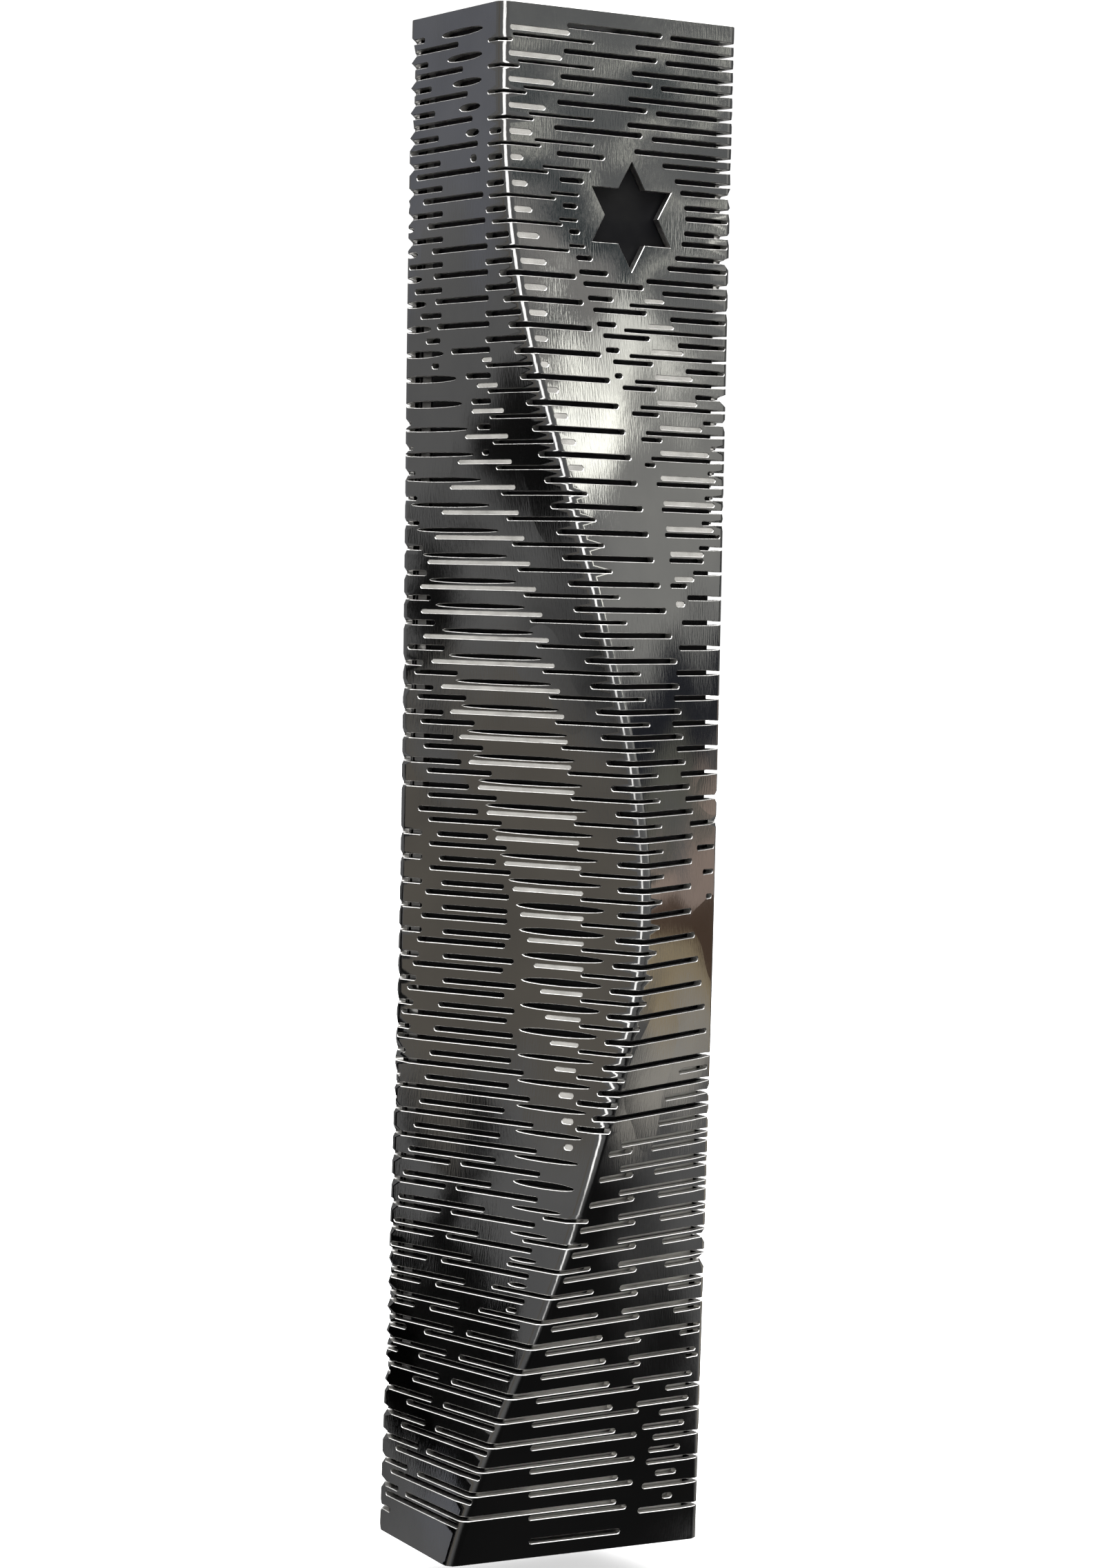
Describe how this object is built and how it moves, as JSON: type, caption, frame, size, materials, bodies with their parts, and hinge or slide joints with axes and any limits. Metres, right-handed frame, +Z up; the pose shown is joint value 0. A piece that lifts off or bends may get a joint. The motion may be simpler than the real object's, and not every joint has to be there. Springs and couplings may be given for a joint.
{
  "type": "mezuzah case",
  "caption": "Tall slotted steel wall case with a wandering folded front edge; its cover slides up off a back plate that holds a capped scroll tube.",
  "frame": {"origin": "middle of the back plate's wall face, half-way up the case", "axes": "+Z up along the case, -Y out of the wall towards the viewer, +X to the viewer's right"},
  "size_m": [0.0303, 0.0257, 0.15],
  "materials": {
    "polished_steel": "mirror-polished stainless sheet",
    "plate_steel": "fine brushed stainless",
    "spring_steel": "satin spring steel",
    "rivet_steel": "satin",
    "zinc_steel": "bright zinc",
    "black_lacquer": "matte black lacquer",
    "white_nylon": "natural nylon",
    "clear_plastic": "clear tube",
    "black_plastic": "matte moulded",
    "parchment": "matte parchment",
    "band_paper": "matte paper"
  },
  "bodies": {
    "wall_side": {"back_plate": "plate_steel", "tube_clip_lower": "spring_steel", "tube_clip_upper": "spring_steel", "clip_rivets": "rivet_steel", "clinch_nut": "zinc_steel", "spacer_washer": "white_nylon"},
    "cover_body": {"cover": "polished_steel", "liner": "black_lacquer", "top_cap": "plate_steel"},
    "lock_body": {"lock_screw": "zinc_steel", "lock_washer": "white_nylon"},
    "tube_body": {"scroll_tube": "clear_plastic", "tube_base_plug": "black_plastic"},
    "stopper_body": {"tube_stopper": "black_plastic"},
    "scroll_body": {"scroll": "parchment", "scroll_band": "band_paper"}
  },
  "joints": [
    {"name": "cover_slide", "type": "slide", "parent": "wall_side", "child": "cover_body", "axis": [0, 0, 1], "range_m": [0, 0.152]},
    {"name": "lock_screw_turn", "type": "hinge", "parent": "wall_side", "child": "lock_body", "pos_m": [0.0135, -0.006, -0.065], "axis": [1, 0, 0], "continuous": true},
    {"name": "tube_slide", "type": "slide", "parent": "wall_side", "child": "tube_body", "axis": [0, 0, 1], "range_m": [0, 0.005]},
    {"name": "stopper_pull", "type": "slide", "parent": "tube_body", "child": "stopper_body", "axis": [0, 0, 1], "range_m": [0, 0.008]},
    {"name": "scroll_lift", "type": "slide", "parent": "tube_body", "child": "scroll_body", "axis": [0, 0, 1], "range_m": [0, 0.0007]}
  ]
}
